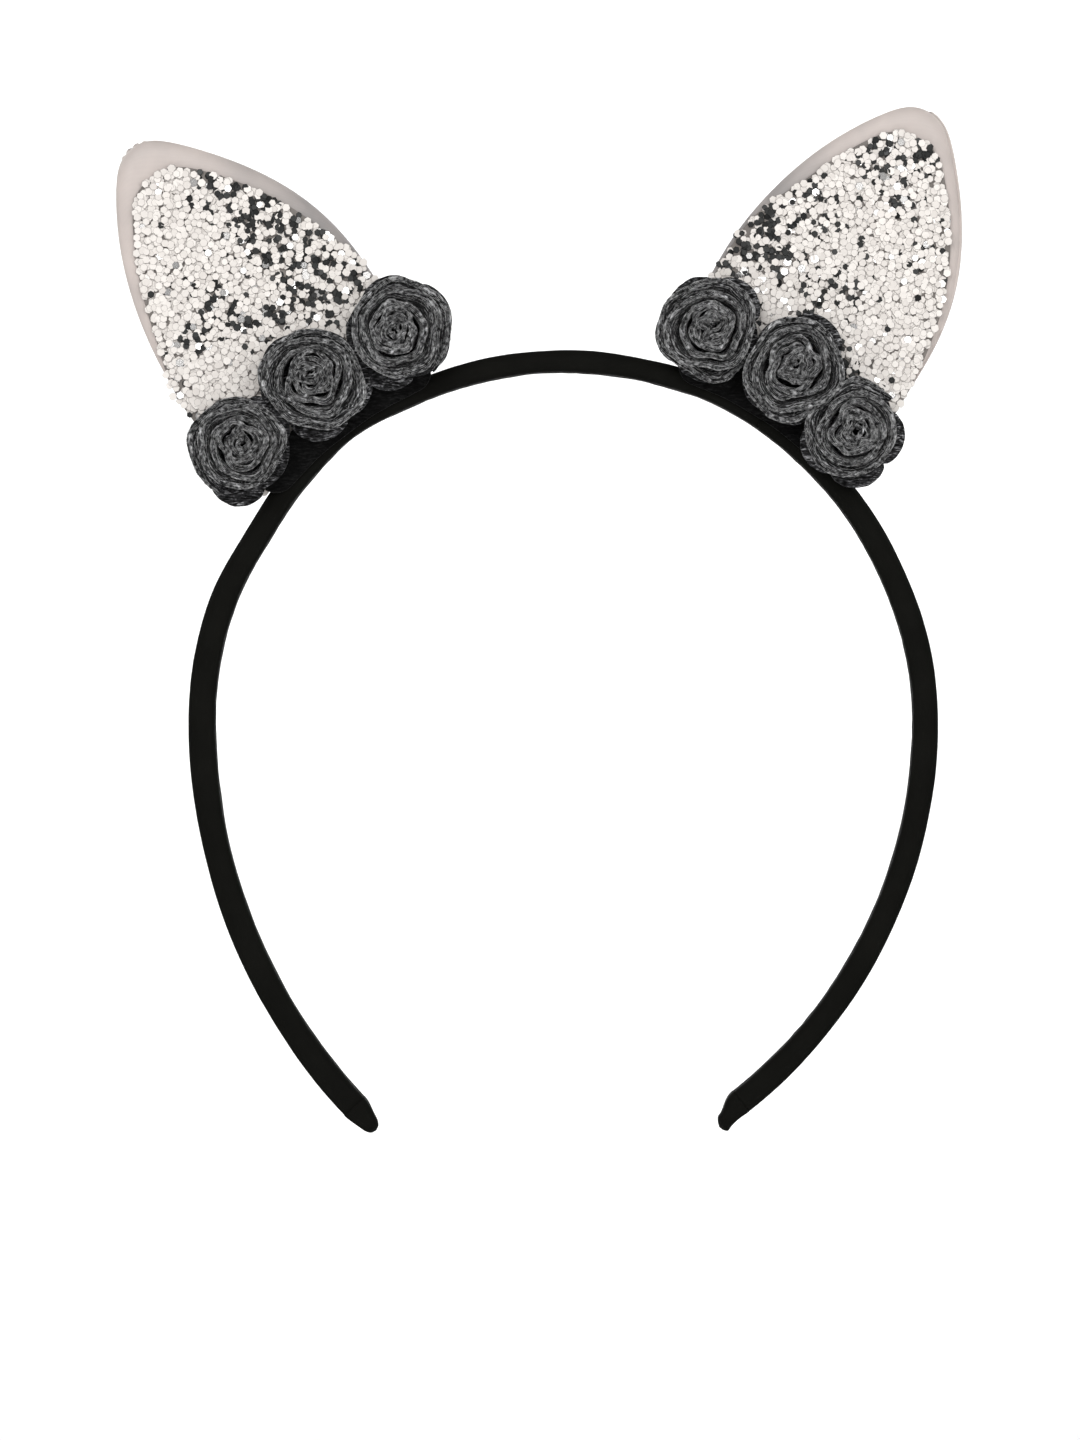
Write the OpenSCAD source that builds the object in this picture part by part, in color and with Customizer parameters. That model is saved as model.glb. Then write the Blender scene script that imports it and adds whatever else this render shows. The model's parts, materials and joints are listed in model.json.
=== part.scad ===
// Animal ears headband: a springy plastic hoop, padded and covered in black satin,
// with two satin ears, each with a glitter panel, and a row of three rolled felt
// roses in front of each ear.
//
// Seen from the front, +X is to the right, +Y to the back and +Z up. The origin is
// the centre of the hoop's round opening. Places along the hoop are angles from the
// crown, positive to the right, and distances from the origin. Left and right are the
// viewer's.

/* [Hoop] */
// Radius of the round upper half of the opening
head_r = 65; // [62:0.5:70]
// Thickness of the covered band, outwards from the head
band_t = 4.6; // [4.4:0.1:5]
// Width of the band, front to back
band_w = 9; // [8.5:0.5:11]
// Rounding of the band's long edges
band_edge_r = 1.6; // [1.4:0.1:1.7]
// Thickness of the satin cover
cover_t = 0.4; // [0.3:0.05:0.4]
// Thickness of the plastic strip inside
core_t = 1.8; // [1.6:0.1:1.8]
// Width of the plastic strip
core_w = 6.8; // [6:0.1:6.8]
// Width of the foam padding on the strip's outer side
padding_w = 7.8; // [7:0.1:7.8]
// Gap between the layers of the band
layer_gap = 0.05; // [0.03:0.01:0.08]
// Room for the cover's sewn seam, between the cover and the strip on the head's side
seam_room = 0.15; // [0.12:0.01:0.15]

/* [Arms] */
// Angle from the crown at which each arm flexes
flex_angle = 75; // [70:1:80]
// Gap between the end of an arm and the crown around it
flex_gap = 0.15; // [0.1:0.05:0.2]
// Inner radius of the left and right arm below their widest point
low_r = [102.5, 88]; // [80:0.5:120]
// How far each arm goes on below its widest point, in degrees of its own arc
low_angle = [43.4, 52]; // [35:0.1:55]
// Length of the folded fabric tip of each arm
tip_len = 6.6; // [5:0.1:8]
// Thickness of that tip at its end
tip_t = 3; // [2:0.1:4]

/* [Ears] */
// Angle from the crown of the left and right ear
ear_angle = [-37, 33]; // [-45:0.5:45]
// Lean of each ear from the radial direction, positive to the right
ear_lean = [0, -4.6]; // [-8:0.1:8]
// Height of the left and right ear above the band
ear_h = [64.1, 62.8]; // [50:0.1:70]
// Half of the ear's greatest width
ear_half_w = 21.4; // [18:0.1:24]
// Height at which the ear is widest
ear_belly = 22; // [15:0.5:28]
// Share of its width that the ear loses down to its foot
ear_foot_pinch = 0.12; // [0:0.01:0.2]
// Shape of the ear's tip: 0.5 is round and 1 comes to a point
ear_tip_power = 0.74; // [0.5:0.01:1]
// Height of the glitter panel
glitter_h = 57.5; // [45:0.1:62]
// Half of the glitter panel's greatest width
glitter_half_w = 21; // [17:0.1:23]
// Height at which the glitter panel is widest
glitter_belly = 15; // [10:0.5:25]
// Shape of the glitter panel's tip: 0.5 is round and 1 comes to a point
glitter_tip_power = 0.67; // [0.5:0.01:1]
// How far the glitter panel sits towards the outer side of its ear
glitter_shift = 0.5; // [0:0.1:1]
// Thickness of the glitter panel
glitter_t = 0.85; // [0.6:0.05:0.85]
// Thickness of the front satin panel
satin_t = 0.6; // [0.4:0.05:0.6]
// Depth of the ear behind the front satin panel
ear_depth = 2.8; // [2.4:0.1:3.2]

/* [Roses] */
// Angles from the crown of the left roses, the lowest first
left_rose_angle = [-49.6, -36.4, -23]; // [-60:0.1:-15]
// Distances of their centres from the origin
left_rose_dist = [78.1, 77.9, 78.2]; // [75:0.1:80]
// Radii that they may fill
left_rose_r = [8.8, 8.9, 8.8]; // [6:0.1:8.9]
// Angles from the crown of the right roses, the lowest first
right_rose_angle = [44.8, 33.2, 20.2]; // [15:0.1:60]
// Distances of their centres from the origin
right_rose_dist = [76.2, 77.6, 77.1]; // [75:0.1:80]
// Radii that they may fill
right_rose_r = [7.2, 8.1, 8.8]; // [6:0.1:8.9]
// Thickness of the felt
felt_t = 1.15; // [0.9:0.05:1.2]
// Distance from one turn of a rolled strip to the next
roll_pitch = 1.35; // [1.3:0.05:1.6]
// Height of a strip at the centre, halfway out and at the rim of its rose
roll_h = [8.2, 7.4, 6.4]; // [5:0.1:9]
// Number of petal lobes on the felt under a rose
lobes = 5; // [4:1:6]

/* [Base felt and glue] */
// Start and end angle of the felt strip under the left roses
left_felt_span = [-53.5, -19.5]; // [-60:0.5:-10]
// Start and end angle of the felt strip under the right roses
right_felt_span = [16.5, 49]; // [10:0.5:60]
// Inner and outer radius of both felt strips
base_felt_r = [67, 74]; // [66:0.5:78]
// Radius of the glue bead behind each ear
glue_r = 1.4; // [1:0.1:1.6]
// Half of the angle that a glue bead covers
glue_half_angle = 14; // [8:0.5:15]

/* [Hidden] */
$fn = 48;
LEFT = 0;
RIGHT = 1;

// The band's layers, by their distances from the origin
outer_r = head_r + band_t;
hinge_r = head_r + band_t / 2;
core_in_r = head_r + cover_t + seam_room;
core_out_r = core_in_r + core_t;
padding_in_r = core_out_r + layer_gap;
padding_out_r = outer_r - cover_t - layer_gap;
core_edge_r = 0.7;
padding_edge_r = 0.45 * (padding_out_r - padding_in_r);

// The round knuckle at an arm's flex line, the angle of the crown that its room takes,
// and how far short of the cover's end an arm's inner layers stop, in degrees
knuckle_r = band_t / 2 - cover_t - seam_room - layer_gap;
knuckle_angle = asin((band_t / 2 + flex_gap + layer_gap) / head_r);
layer_stop = 0.3;

// The ear's layers, by their places along Y, front to back
ear_back_y = -0.2;
satin_back_y = ear_back_y - ear_depth;
satin_front_y = satin_back_y - satin_t;
glitter_y = satin_front_y - layer_gap - glitter_t;
ear_wall = 0.6;

// The felt's layers in front of the band, by the Y of their front faces
base_felt_y = -band_w / 2 - layer_gap - felt_t;
rose_base_y = base_felt_y - layer_gap - felt_t;
rose_strip_y = rose_base_y - layer_gap;
roll_hole_r = 0.55;

side_names = ["left", "right"];

// ---- placing -------------------------------------------------------------------

// Mirrors what is modelled for the right side when the side is the left
module on_side(side) {
    if (side == LEFT) mirror([1, 0, 0]) children();
    else children();
}

// Moves its children to a place beside the band, their +Z pointing away from the
// origin, with an extra lean about that place
module place_on_band(angle, dist, lean = 0) {
    rotate([0, angle, 0])
        translate([0, 0, dist])
            rotate([0, lean, 0])
                children();
}

// Turns a flat shape to face the front, and gives it its depth between two places on Y
module facing_front(front_y, back_y) {
    translate([0, back_y, 0])
        rotate([90, 0, 0])
            linear_extrude(back_y - front_y)
                children();
}

// Sweeps a profile about the Y axis from one angle to another, both from the crown
module sweep_from_crown(from_angle, to_angle) {
    rotate([90, 0, 0])
        rotate_extrude(start = 90 - to_angle, angle = to_angle - from_angle, $fn = 180)
            children();
}

// A cylinder along Y through the origin of its place
module cross_cylinder(r, length) {
    rotate([90, 0, 0])
        cylinder(r = r, h = length, center = true);
}

// Moves its children to the flex line of the right arm, +Z along the crown's outside
module place_on_flex_line() {
    rotate([0, flex_angle, 0])
        translate([0, 0, hinge_r])
            children();
}

// ---- the band's layers ---------------------------------------------------------

// A bar between two distances from the origin, with rounded edges
module bar_profile(in_r, out_r, width, edge_r) {
    inner = [in_r + edge_r, out_r - edge_r];
    half_w = width / 2 - edge_r;
    translate([in_r, -half_w])
        square([out_r - in_r, 2 * half_w]);
    translate([inner[0], -width / 2])
        square([inner[1] - inner[0], width]);
    for (x = inner, y = [-half_w, half_w])
        translate([x, y])
            circle(r = edge_r);
}

// The outline of the covered band, or of the room inside its cover
module band_profile(inset = 0) {
    bar_profile(head_r + inset, outer_r - inset, band_w - 2 * inset, band_edge_r - inset);
}

module padding_profile() {
    bar_profile(padding_in_r, padding_out_r, padding_w, padding_edge_r);
}

module core_profile() {
    bar_profile(core_in_r, core_out_r, core_w, core_edge_r);
}

// One layer of an arm: the rest of the crown's own arc, then the wider lower arc
module arm_layer(side, past_flex = 0, short_of_tip = 0) {
    shift = head_r - low_r[side];
    on_side(side) {
        sweep_from_crown(flex_angle + past_flex, 90) children();
        translate([shift, 0, 0])
            sweep_from_crown(90, 90 + low_angle[side] - short_of_tip)
                translate([-shift, 0])
                    children();
    }
}

module cover_profile() {
    difference() {
        band_profile();
        band_profile(cover_t);
    }
}

// The crown's cover, hollowed at both flex lines for the ends of the arms
module hoop_cover_crown() {
    color("#1a1a1c")
        difference() {
            sweep_from_crown(-flex_angle, flex_angle) cover_profile();
            for (side = [LEFT, RIGHT])
                on_side(side)
                    place_on_flex_line()
                        cross_cylinder(band_t / 2 + flex_gap, band_w + 2);
        }
}

module hoop_cover_arm(side) {
    color("#1a1a1c") arm_layer(side) cover_profile();
}

module hoop_padding_crown() {
    color("#55565a")
        sweep_from_crown(knuckle_angle - flex_angle, flex_angle - knuckle_angle)
            padding_profile();
}

module hoop_padding_arm(side) {
    color("#55565a") arm_layer(side, knuckle_angle, layer_stop) padding_profile();
}

module hoop_core_crown() {
    color("#2b2b2e")
        sweep_from_crown(knuckle_angle - flex_angle, flex_angle - knuckle_angle)
            core_profile();
}

// The strip ends in a round knuckle, which turns inside the crown's hollow and stands
// for the bend of a strip that is really one piece
module hoop_core_arm(side) {
    color("#2b2b2e") {
        arm_layer(side, 0, layer_stop) core_profile();
        on_side(side)
            place_on_flex_line()
                cross_cylinder(knuckle_r, core_w - core_edge_r);
    }
}

// The cover's end, folded flat and glued over the end of the strip
module tip_tab(side) {
    end_r = tip_t / 2;
    end_half_w = band_w / 2 - 1 - end_r;
    fold_t = 0.4;
    color("#141416")
        on_side(side)
            translate([head_r - low_r[side], 0, 0])
                rotate([0, low_angle[side], 0])
                    translate([0, 0, -layer_gap])
                        hull() {
                            translate([low_r[side] - head_r, 0, -fold_t])
                                linear_extrude(fold_t)
                                    bar_profile(head_r, outer_r, band_w, band_edge_r, $fn = 32);
                            for (y = [-end_half_w, end_half_w])
                                translate([low_r[side] + band_t / 2, y, end_r - tip_len])
                                    sphere(r = end_r, $fn = 24);
                        }
}

// ---- the ears ------------------------------------------------------------------

// Half of an ear's width at a height: widest at the belly, rounded off at the top
function ear_reach(half_w, belly, h, power, z) =
    z > belly
        ? half_w * pow(1 - pow((z - belly) / (h - belly), 2), power)
        : half_w * (1 - ear_foot_pinch * pow((belly - z) / belly, 2));

// Heights of an ear's outline from its foot to just below its top, closer near the top
function ear_heights(belly, h, foot, low_steps = 4, high_steps = 15) = concat(
    [for (i = [0:low_steps]) foot + (belly - foot) * i / low_steps],
    [for (i = [1:high_steps - 1]) belly + (h - belly) * sin(90 * i / high_steps)]
);

module ear_outline(half_w, belly, h, power, inset = 0) {
    w = half_w - inset;
    top = h - 1.6 * inset;
    foot = -6;
    rise = ear_heights(belly, top, foot);
    last = len(rise) - 1;
    polygon(concat(
        [for (z = rise) [ear_reach(w, belly, top, power, z), z]],
        [[0, top]],
        [for (i = [last:-1:0]) [-ear_reach(w, belly, top, power, rise[i]), rise[i]]]
    ));
}

// One flat layer of an ear, cut to the band's curve with a clearance above it
module ear_layer(side, front_y, back_y, inset = 0, above_band = 0.1) {
    difference() {
        place_on_band(ear_angle[side], outer_r, ear_lean[side])
            facing_front(front_y, back_y)
                ear_outline(ear_half_w, ear_belly, ear_h[side], ear_tip_power, inset);
        cross_cylinder(outer_r + above_band, 4 * band_w, $fn = 180);
    }
}

module ear_satin_front(side) {
    color("#cdbfb8") ear_layer(side, satin_front_y, satin_back_y);
}

// The back panel, turned forward round the ear's edge as a shallow tray
module ear_satin_back(side) {
    color("#c4b5ae")
        difference() {
            ear_layer(side, satin_back_y, ear_back_y);
            ear_layer(side, satin_back_y - 1, ear_back_y - ear_wall, ear_wall, 0.8);
        }
}

module ear_core(side) {
    color("#f2efe9")
        ear_layer(side, satin_back_y + layer_gap, ear_back_y - ear_wall - layer_gap,
                  ear_wall + 0.1, 0.9);
}

module ear_glitter(side) {
    outward = side == LEFT ? -1 : 1;
    color("#e2dad5")
        difference() {
            place_on_band(ear_angle[side], outer_r, ear_lean[side])
                translate([outward * glitter_shift, 0, 0])
                    facing_front(glitter_y, glitter_y + glitter_t)
                        ear_outline(glitter_half_w, glitter_belly, glitter_h, glitter_tip_power);
            cross_cylinder(outer_r + 0.1, 4 * band_w, $fn = 180);
        }
}

// Hot glue along the foot of an ear, on the back of the band's outer side
module glue_bead(side) {
    color("#e8e0c4")
        sweep_from_crown(ear_angle[side] - glue_half_angle, ear_angle[side] + glue_half_angle)
            translate([outer_r + layer_gap + glue_r, -(ear_back_y + layer_gap + glue_r)])
                circle(r = glue_r);
}

// ---- the felt ------------------------------------------------------------------

function rose_angle(side) = side == LEFT ? left_rose_angle : right_rose_angle;
function rose_dist(side) = side == LEFT ? left_rose_dist : right_rose_dist;
function rose_r(side) = side == LEFT ? left_rose_r : right_rose_r;
function felt_span(side) = side == LEFT ? left_felt_span : right_felt_span;

module base_felt(side) {
    color("#202022")
        sweep_from_crown(felt_span(side)[0], felt_span(side)[1])
            translate([base_felt_r[0], -(base_felt_y + felt_t)])
                square([base_felt_r[1] - base_felt_r[0], felt_t]);
}

// The lobed felt piece that a rose is glued to
module rose_base(side, i) {
    r = rose_r(side)[i];
    color("#47474b")
        place_on_band(rose_angle(side)[i], rose_dist(side)[i])
            facing_front(rose_base_y, rose_base_y + felt_t) {
                circle(r = r / 2);
                for (k = [0:lobes - 1])
                    rotate(90 + k * 360 / lobes)
                        translate([0.58 * r, 0])
                            circle(r = 0.42 * r);
            }
}

// The rolled strip: each half turn is half a ring, a half pitch wider than the one
// before it, with its centre a half pitch to the other side
module rose_strip(side, i) {
    half_pitch = roll_pitch / 2;
    room = rose_r(side)[i] - roll_hole_r - felt_t - half_pitch / 2;
    half_turns = floor(room / half_pitch);
    color("#4d4d51")
        place_on_band(rose_angle(side)[i], rose_dist(side)[i])
            translate([0, rose_strip_y, 0])
                rotate([90, 0, 0])
                    for (n = [0:half_turns]) {
                        in_r = roll_hole_r + n * half_pitch;
                        odd = n % 2;
                        translate([(0.5 - odd) * half_pitch, 0, 0])
                            rotate_extrude(start = 180 * odd, angle = 180)
                                translate([in_r, 0])
                                    square([felt_t, roll_h[floor(3 * n / (half_turns + 1))]]);
                    }
}

// ---- the nodes -----------------------------------------------------------------

hoop_cover_crown();
hoop_padding_crown();
hoop_core_crown();

for (side = [LEFT, RIGHT]) {
    name = side_names[side];
    hoop_cover_arm(side);
    hoop_padding_arm(side);
    hoop_core_arm(side);
    tip_tab(side);
    ear_satin_front(side);
    ear_satin_back(side);
    ear_core(side);
    ear_glitter(side);
    glue_bead(side);
    base_felt(side);
    for (i = [0:2]) {
        rose = str("rose_", name, "_", i + 1);
        rose_base(side, i);
        rose_strip(side, i);
    }
}
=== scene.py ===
"""The looks of a padded satin headband with two glittered ears and six felt roses.

Seen from the front, +X is to the right, +Y to the back and +Z up, and the origin is the
centre of the hoop's round opening. Angles along the band are from the crown, in degrees,
positive to the right; past the widest point of an arm they go on along its own lower arc.
Lengths are in metres, and MM turns millimetres into them.
"""

import json
import math
import random
from collections import namedtuple

import bmesh
import bpy
import numpy as np
from mathutils import Matrix, Vector, noise


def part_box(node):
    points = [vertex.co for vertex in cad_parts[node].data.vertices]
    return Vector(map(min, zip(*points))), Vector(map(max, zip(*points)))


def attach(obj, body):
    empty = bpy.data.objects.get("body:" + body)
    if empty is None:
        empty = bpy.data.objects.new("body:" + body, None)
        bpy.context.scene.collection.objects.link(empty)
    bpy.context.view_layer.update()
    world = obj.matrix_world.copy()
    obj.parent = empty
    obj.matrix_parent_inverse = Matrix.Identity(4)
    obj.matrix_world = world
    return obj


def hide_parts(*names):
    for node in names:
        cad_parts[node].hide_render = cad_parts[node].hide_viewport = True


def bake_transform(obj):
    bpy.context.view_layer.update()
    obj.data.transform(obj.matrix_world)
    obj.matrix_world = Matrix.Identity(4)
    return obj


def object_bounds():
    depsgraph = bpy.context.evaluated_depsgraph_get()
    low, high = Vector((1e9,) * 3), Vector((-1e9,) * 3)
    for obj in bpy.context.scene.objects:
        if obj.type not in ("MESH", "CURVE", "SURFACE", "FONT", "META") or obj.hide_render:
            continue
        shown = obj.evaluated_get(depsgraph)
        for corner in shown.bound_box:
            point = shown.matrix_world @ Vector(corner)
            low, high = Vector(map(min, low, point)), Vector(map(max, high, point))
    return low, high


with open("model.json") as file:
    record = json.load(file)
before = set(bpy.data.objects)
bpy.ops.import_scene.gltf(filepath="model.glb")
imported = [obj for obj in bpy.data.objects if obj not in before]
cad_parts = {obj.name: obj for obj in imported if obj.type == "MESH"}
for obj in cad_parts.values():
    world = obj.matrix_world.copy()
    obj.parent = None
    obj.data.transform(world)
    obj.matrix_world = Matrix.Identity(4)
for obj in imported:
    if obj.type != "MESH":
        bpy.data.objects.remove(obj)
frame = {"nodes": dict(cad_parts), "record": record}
CAD_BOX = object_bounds()

# noise_vector reads the noise at places that are drawn once, so the draw is seeded
noise.seed_set(5)

MM = 0.001
SIDES = ("left", "right")
ROSES = (1, 2, 3)

# ---- camera --------------------------------------------------------------------

# The camera looks straight at the hoop's front through a long lens
CAMERA_AIM = Vector((-4.5 * MM, 0, 0.2 * MM))
CAMERA_DISTANCE = 1.6
VIEW_HEIGHT = 268.6 * MM
SENSOR_HEIGHT = 24.0


def make_camera():
    data = bpy.data.cameras.new("camera")
    data.sensor_fit = "VERTICAL"
    data.sensor_height = SENSOR_HEIGHT
    data.lens = SENSOR_HEIGHT * CAMERA_DISTANCE / VIEW_HEIGHT
    data.clip_start = 0.05
    data.clip_end = 20
    camera = bpy.data.objects.new("camera", data)
    camera.location = CAMERA_AIM - Vector((0, CAMERA_DISTANCE, 0))
    camera.rotation_euler = (math.radians(90), 0, 0)
    bpy.context.scene.collection.objects.link(camera)
    bpy.context.scene.camera = camera


make_camera()

# ---- sizes that the frame gives ------------------------------------------------

CROWN_LOW, CROWN_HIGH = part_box("hoop_cover_crown")
HEAD_R = frame["record"]["mounts"][0]["dims"]["r_mm"] * MM
BAND_T = CROWN_HIGH.z - HEAD_R
BAND_W = CROWN_HIGH.y - CROWN_LOW.y
OUTER_R = HEAD_R + BAND_T
SIGN = {"left": -1, "right": 1}


def vertices(node):
    """The rest places of a CAD node's vertices, one row each."""
    mesh = frame["nodes"][node].data
    places = np.empty(len(mesh.vertices) * 3)
    mesh.vertices.foreach_get("co", places)
    return places.reshape(-1, 3)


def polar(places):
    """Angles from the crown, in degrees, and distances from the origin, seen from the front."""
    return np.degrees(np.arctan2(places[:, 0], places[:, 2])), np.hypot(places[:, 0], places[:, 2])


def outward(angle):
    """The way out from the origin at an angle from the crown, in degrees."""
    return Vector((math.sin(math.radians(angle)), 0, math.cos(math.radians(angle))))


def arm_arc(side):
    """Inner radius of an arm's lower arc, and how far past the widest point its cover goes."""
    places = vertices(f"hoop_cover_{side}") * (SIGN[side], 1, 1)
    x, _, z = places[places[:, 0].argmin()]
    radius = ((x - HEAD_R) ** 2 + z * z) / (2 * (HEAD_R - x))
    return radius, math.degrees(math.atan2(-z, x - HEAD_R + radius))


LOW_R, LOW_ANGLE = {}, {}
for side in SIDES:
    LOW_R[side], LOW_ANGLE[side] = arm_arc(side)

# Where the crown's cover is joined to each arm's, behind the middle rose
SEAM_ANGLE = {}
for side in SIDES:
    low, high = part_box(f"rose_{side}_2_strip")
    middle = (low + high) / 2
    SEAM_ANGLE[side] = abs(math.degrees(math.atan2(middle.x, middle.z)))


# ---- meshes --------------------------------------------------------------------

def smoothstep(value, start=0.0, end=1.0):
    """0 at start, 1 at end and a smooth rise or fall between them."""
    share = min(max((value - start) / (end - start), 0), 1)
    return share * share * (3 - 2 * share)


def make_object(name, points, faces, material, smooth=True, smooth_angle=None):
    mesh = bpy.data.meshes.new(name)
    mesh.from_pydata([tuple(p) for p in points], [], faces)
    shape = bmesh.new()
    shape.from_mesh(mesh)
    bmesh.ops.recalc_face_normals(shape, faces=shape.faces)
    shape.to_mesh(mesh)
    shape.free()
    mesh.polygons.foreach_set("use_smooth", [smooth] * len(mesh.polygons))
    if smooth_angle is not None:
        mesh.set_sharp_from_angle(angle=math.radians(smooth_angle))
    piece = bpy.data.objects.new(name, mesh)
    bpy.context.scene.collection.objects.link(piece)
    mesh.materials.append(material)
    return piece


def ring_faces(rings, size, closed_rings=True, first=0, wrap=False):
    """Quads between neighbouring rings of size points each; wrap joins the last to the first."""
    faces = []
    for i in range(rings if wrap else rings - 1):
        here, beyond = first + i * size, first + (i + 1) % rings * size
        for j in range(size if closed_rings else size - 1):
            k = (j + 1) % size
            faces.append((here + j, here + k, beyond + k, beyond + j))
    return faces


def sweep(name, rings, material, inner=None, smooth_angle=None):
    """A solid along rings of points, or a tube with walls where inner rings are given."""
    size = len(rings[0])
    points = [p for ring in rings for p in ring]
    faces = ring_faces(len(rings), size)
    ends = (0, (len(rings) - 1) * size)
    if inner is None:
        faces += [[end + j for j in range(size)] for end in ends]
    else:
        first = len(points)
        points += [p for ring in inner for p in ring]
        faces += ring_faces(len(rings), size, first=first)
        for end in ends:
            for j in range(size):
                k = (j + 1) % size
                faces.append((end + j, end + k, first + end + k, first + end + j))
    return make_object(name, points, faces, material, smooth_angle=smooth_angle)


def add_cloth_map(piece, name, along, across):
    """A UV map in metres of cloth, from each ring's place along it and each point's across it."""
    layer = piece.data.uv_layers.new(name=name)
    for corner in piece.data.loops:
        ring, point = divmod(corner.vertex_index, len(across))
        layer.data[corner.index].uv = (along[ring % len(along)], across[point])


# ---- materials -----------------------------------------------------------------

# The distance between the waves of a wave texture whose scale is 1
WAVE_PITCH = math.tau / 20


class Shader:
    """A node material that is put together one texture at a time."""

    def __init__(self, name, **sockets):
        self.material = bpy.data.materials.new(name)
        self.material.use_nodes = True
        self.tree = self.material.node_tree
        self.bsdf = self.tree.nodes["Principled BSDF"]
        self.place = self.node("ShaderNodeTexCoord").outputs["Object"]
        for socket, value in sockets.items():
            self.bsdf.inputs[socket.replace("_", " ")].default_value = value

    def node(self, kind, inputs=(), **settings):
        made = self.tree.nodes.new(kind)
        for key, value in settings.items():
            setattr(made, key, value)
        for key, value in dict(inputs).items():
            if isinstance(value, bpy.types.NodeSocket):
                self.tree.links.new(value, made.inputs[key])
            else:
                made.inputs[key].default_value = value
        return made

    def along(self, uv_map):
        """Takes places from a UV map whose units are metres of cloth."""
        self.place = self.node("ShaderNodeUVMap", uv_map=uv_map).outputs["UV"]

    def curl(self, size, reach):
        """Bends the places that textures are read at, in whirls of about size metres."""
        inputs = {"Vector": self.place, "Scale": 1 / size, "Detail": 1.0}
        whirl = self.node("ShaderNodeTexNoise", inputs).outputs["Color"]
        centred = self.node("ShaderNodeVectorMath", {0: whirl, 1: (0.5, 0.5, 0.5)}, operation="SUBTRACT")
        shift = self.node("ShaderNodeVectorMath", {0: centred.outputs[0], 1: (2 * reach,) * 3},
                          operation="MULTIPLY")
        bent = self.node("ShaderNodeVectorMath", {0: self.place, 1: shift.outputs[0]}, operation="ADD")
        self.place = bent.outputs[0]

    def mapped(self, turn=(0, 0, 0), scale=(1, 1, 1)):
        angles = [math.radians(a) for a in turn]
        inputs = {"Vector": self.place, "Rotation": angles, "Scale": scale}
        return self.node("ShaderNodeMapping", inputs).outputs["Vector"]

    def noise(self, size, detail=2.0, turn=(0, 0, 0), stretch=(1, 1, 1), roughness=0.5):
        """Noise whose patches are about size metres across."""
        inputs = {"Vector": self.mapped(turn, stretch), "Scale": 1 / size, "Detail": detail,
                  "Roughness": roughness}
        return self.node("ShaderNodeTexNoise", inputs).outputs["Fac"]

    def threads(self, pitch, turn=(0, 0, 0)):
        """Fine parallel threads, pitch metres apart."""
        inputs = {"Vector": self.mapped(turn), "Scale": WAVE_PITCH / pitch,
                  "Distortion": 0.4, "Detail": 1.0}
        return self.node("ShaderNodeTexWave", inputs).outputs["Fac"]

    def math(self, operation, a, b):
        return self.node("ShaderNodeMath", {0: a, 1: b}, operation=operation).outputs[0]

    def ramp(self, value, *stops):
        made = self.node("ShaderNodeValToRGB", {"Fac": value})
        ramp = made.color_ramp
        while len(ramp.elements) < len(stops):
            ramp.elements.new(0.5)
        for element, (position, colour) in zip(ramp.elements, stops):
            element.position = position
            element.color = (*colour, 1)
        return made.outputs["Color"]

    def range(self, value, low, high, from_low=0.0, from_high=1.0):
        inputs = {"Value": value, "From Min": from_low, "From Max": from_high,
                  "To Min": low, "To Max": high}
        return self.node("ShaderNodeMapRange", inputs).outputs["Result"]

    def feed(self, socket, value):
        self.tree.links.new(value, self.bsdf.inputs[socket])

    def bump(self, height, distance, below=None):
        inputs = {"Height": height, "Distance": distance, "Strength": 1.0}
        if below is not None:
            inputs["Normal"] = below
        return self.node("ShaderNodeBump", inputs).outputs["Normal"]


def satin(name, dark, light, pitch, sheen, specular, roughness, uv_map=None, with_painted_shade=False):
    """Satin: fine threads one way, a soft sheen and slow shifts of tone."""
    shader = Shader(name, Sheen_Weight=sheen, Sheen_Roughness=0.35, Specular_IOR_Level=specular)
    if uv_map:
        shader.along(uv_map)
    slow = shader.noise(9 * MM, detail=3)
    warp = shader.threads(pitch, turn=(0, 0, 12))
    weft = shader.threads(pitch * 1.6, turn=(0, 90, 102))
    weave = shader.math("ADD", warp, shader.math("MULTIPLY", weft, 0.45))
    tone = shader.math("ADD", shader.math("MULTIPLY", slow, 0.85),
                       shader.math("MULTIPLY", weave, 0.06))
    # Painted shade: the attribute pulls the tone towards the dark colour.
    if with_painted_shade:
        painted_shade = shader.node("ShaderNodeAttribute", attribute_name="painted_shade").outputs["Fac"]
        tone = shader.math("SUBTRACT", tone, shader.math("MULTIPLY", painted_shade, 0.8))
    shader.feed("Base Color", shader.ramp(shader.range(tone, 0, 1, -0.4, 0.75), (0, dark), (1, light)))
    shader.feed("Roughness", shader.range(slow, roughness - 0.06, roughness + 0.08))
    soft = shader.bump(shader.noise(1.8 * MM, detail=3), 0.04 * MM)
    shader.feed("Normal", shader.bump(weave, 0.003 * MM, soft))
    return shader.material


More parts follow.
